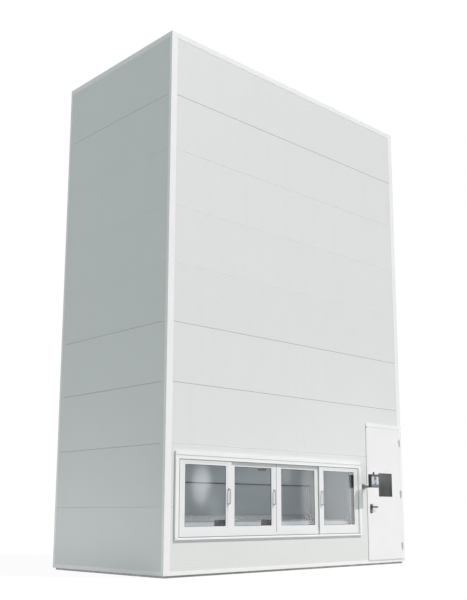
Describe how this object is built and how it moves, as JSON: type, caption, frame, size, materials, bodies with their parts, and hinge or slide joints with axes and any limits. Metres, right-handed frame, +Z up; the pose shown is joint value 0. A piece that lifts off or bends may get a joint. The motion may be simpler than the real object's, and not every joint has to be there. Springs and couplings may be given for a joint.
{
  "type": "vertical lift module",
  "caption": "Storage lift in an insulated panel enclosure, with a sliding picking window, service door, swivel touch console and a tray lift between two columns of trays.",
  "frame": {"origin": "middle of the enclosure's footprint, on the ground", "axes": "+Z up, +X along the front from the picking window towards the service door, +Y from the front into the depth"},
  "size_m": [6.27, 3.4407, 9.25],
  "materials": {
    "wall_steel": "satin coated sheet",
    "white_trim": "satin",
    "door_white": "satin",
    "track_aluminium": "anodised",
    "plinth_steel": "matt",
    "window_glass": "clear",
    "dark_glass": "tinted",
    "pull_grey": "satin",
    "hinge_steel": "brushed",
    "black_plastic": "matt",
    "console_grey": "satin",
    "console_dark": "satin",
    "screen_glass": "lit display",
    "lamp_lens": "translucent",
    "frame_steel": "satin",
    "galvanised": "galvanised",
    "carriage_steel": "satin",
    "shoe_plastic": "matt",
    "belt_rubber": "matt",
    "machined_steel": "machined",
    "motor_paint": "satin",
    "cabinet_paint": "textured",
    "light_white": "diffuse"
  },
  "bodies": {
    "enclosure": {"plinth_frame": "plinth_steel", "floor_panels": "plinth_steel", "front_wall_panels": "wall_steel", "side_wall_panels": "wall_steel", "rear_wall_panels": "wall_steel", "roof_panels": "wall_steel", "edge_trims": "white_trim", "window_casing": "white_trim", "window_tracks": "track_aluminium", "door_frame": "white_trim", "hinge_frame_halves": "hinge_steel", "console_bracket": "console_grey", "frame_beams": "frame_steel", "uprights": "frame_steel", "tray_rails": "galvanised", "front_trays": "galvanised", "rear_trays": "galvanised", "bay_liner": "white_trim", "bay_light": "light_white", "light_barriers": "track_aluminium", "shutter_guides": "track_aluminium", "lift_belts": "belt_rubber", "shaft_bearings": "carriage_steel", "lift_gearmotor": "motor_paint", "idler_axles": "carriage_steel", "control_cabinet": "cabinet_paint"},
    "sash_left_outer_unit": {"sash_left_outer": "white_trim", "pane_left_outer": "window_glass", "pull_left": "pull_grey"},
    "sash_left_inner_unit": {"sash_left_inner": "white_trim", "pane_left_inner": "window_glass", "pull_middle": "pull_grey"},
    "sash_right_inner_unit": {"sash_right_inner": "white_trim", "pane_right_inner": "window_glass"},
    "sash_right_outer_unit": {"sash_right_outer": "white_trim", "pane_right_outer": "window_glass", "pull_right": "pull_grey"},
    "door": {"door_leaf": "door_white", "door_vision_panel": "dark_glass", "hinge_door_halves": "hinge_steel", "lever_plates": "black_plastic"},
    "lever": {"lever_handle": "black_plastic"},
    "latch": {"latch_bolt": "hinge_steel"},
    "console_arm_unit": {"console_arm": "console_grey"},
    "console_head_unit": {"console_head": "console_dark", "console_screen": "screen_glass", "status_lamp": "lamp_lens"},
    "shutter": {"bay_shutter": "white_trim"},
    "carriage": {"carriage_frame": "carriage_steel", "guide_shoes": "shoe_plastic", "transfer_belts": "belt_rubber", "transfer_motor": "carriage_steel"},
    "tray_on_lift": {"lift_tray": "galvanised", "tray_dogs": "carriage_steel"},
    "transfer_shaft_unit": {"transfer_shaft": "machined_steel"},
    "transfer_idler_pair": {"transfer_idlers": "machined_steel"},
    "lift_shaft_unit": {"drive_shaft": "machined_steel"},
    "lift_idler_pair": {"lift_idlers": "machined_steel"},
    "cabinet_door_unit": {"cabinet_door": "cabinet_paint"},
    "switch_knob": {"main_switch": "black_plastic"}
  },
  "joints": [
    {"name": "left_outer_sash_slide", "type": "slide", "parent": "enclosure", "child": "sash_left_outer_unit", "axis": [1, 0, 0], "range_m": [0, 1.035]},
    {"name": "left_inner_sash_slide", "type": "slide", "parent": "enclosure", "child": "sash_left_inner_unit", "axis": [1, 0, 0], "range_m": [-1.035, 0]},
    {"name": "right_inner_sash_slide", "type": "slide", "parent": "enclosure", "child": "sash_right_inner_unit", "axis": [1, 0, 0], "range_m": [0, 1.118]},
    {"name": "right_outer_sash_slide", "type": "slide", "parent": "enclosure", "child": "sash_right_outer_unit", "axis": [1, 0, 0], "range_m": [-1.118, 0]},
    {"name": "door_hinge", "type": "hinge", "parent": "enclosure", "child": "door", "pos_m": [3.0565, -1.5967, 0], "axis": [0, 0, 1], "range_deg": [0, 100]},
    {"name": "lever_turn", "type": "hinge", "parent": "door", "child": "lever", "pos_m": [2.073, -1.5847, 1.115], "axis": [0, 1, 0], "range_deg": [0, 40], "stiffness_Nm_per_rad": 2.5, "springref_deg": -34.38},
    {"name": "latch_slide", "type": "slide", "parent": "door", "child": "latch", "axis": [1, 0, 0], "range_m": [0, 0.012]},
    {"name": "console_swivel", "type": "hinge", "parent": "enclosure", "child": "console_arm_unit", "pos_m": [1.855, -1.6177, 1.504], "axis": [0, 0, 1], "range_deg": [-45, 45]},
    {"name": "console_tilt", "type": "hinge", "parent": "console_arm_unit", "child": "console_head_unit", "pos_m": [1.855, -1.7757, 1.576], "axis": [1, 0, 0], "range_deg": [-15, 15]},
    {"name": "shutter_slide", "type": "slide", "parent": "enclosure", "child": "shutter", "axis": [0, 0, 1], "range_m": [0, 0.555]},
    {"name": "lift_travel", "type": "slide", "parent": "enclosure", "child": "carriage", "axis": [0, 0, 1], "range_m": [-0.45, 7.65]},
    {"name": "tray_transfer", "type": "slide", "parent": "carriage", "child": "tray_on_lift", "axis": [0, 1, 0], "range_m": [-0.94, 0]},
    {"name": "transfer_shaft_turn", "type": "hinge", "parent": "carriage", "child": "transfer_shaft_unit", "pos_m": [-0.595, 0.472, 0.89], "axis": [1, 0, 0], "continuous": true},
    {"name": "transfer_idler_turn", "type": "hinge", "parent": "carriage", "child": "transfer_idler_pair", "pos_m": [-0.595, -0.472, 0.89], "axis": [1, 0, 0], "continuous": true},
    {"name": "lift_shaft_turn", "type": "hinge", "parent": "enclosure", "child": "lift_shaft_unit", "pos_m": [-0.595, 0, 8.93], "axis": [1, 0, 0], "continuous": true},
    {"name": "lift_idler_turn", "type": "hinge", "parent": "enclosure", "child": "lift_idler_pair", "pos_m": [-0.595, 0, 0.3], "axis": [1, 0, 0], "continuous": true},
    {"name": "cabinet_door_hinge", "type": "hinge", "parent": "enclosure", "child": "cabinet_door_unit", "pos_m": [2.041, 1.2131, 0.9], "axis": [0, 0, 1], "range_deg": [-110, 0]},
    {"name": "main_switch_turn", "type": "hinge", "parent": "cabinet_door_unit", "child": "switch_knob", "pos_m": [2.14, 1.2041, 1.65], "axis": [0, 1, 0], "range_deg": [0, 90]}
  ],
  "couplings": [
    {"joint": "lift_shaft_turn", "follows": "lift_travel", "rad_per_m": -15.674},
    {"joint": "lift_idler_turn", "follows": "lift_travel", "rad_per_m": -15.674},
    {"joint": "transfer_shaft_turn", "follows": "tray_transfer", "rad_per_m": -42.017},
    {"joint": "transfer_idler_turn", "follows": "tray_transfer", "rad_per_m": -42.017},
    {"joint": "latch_slide", "follows": "lever_turn", "m_per_rad": 0.017189}
  ]
}
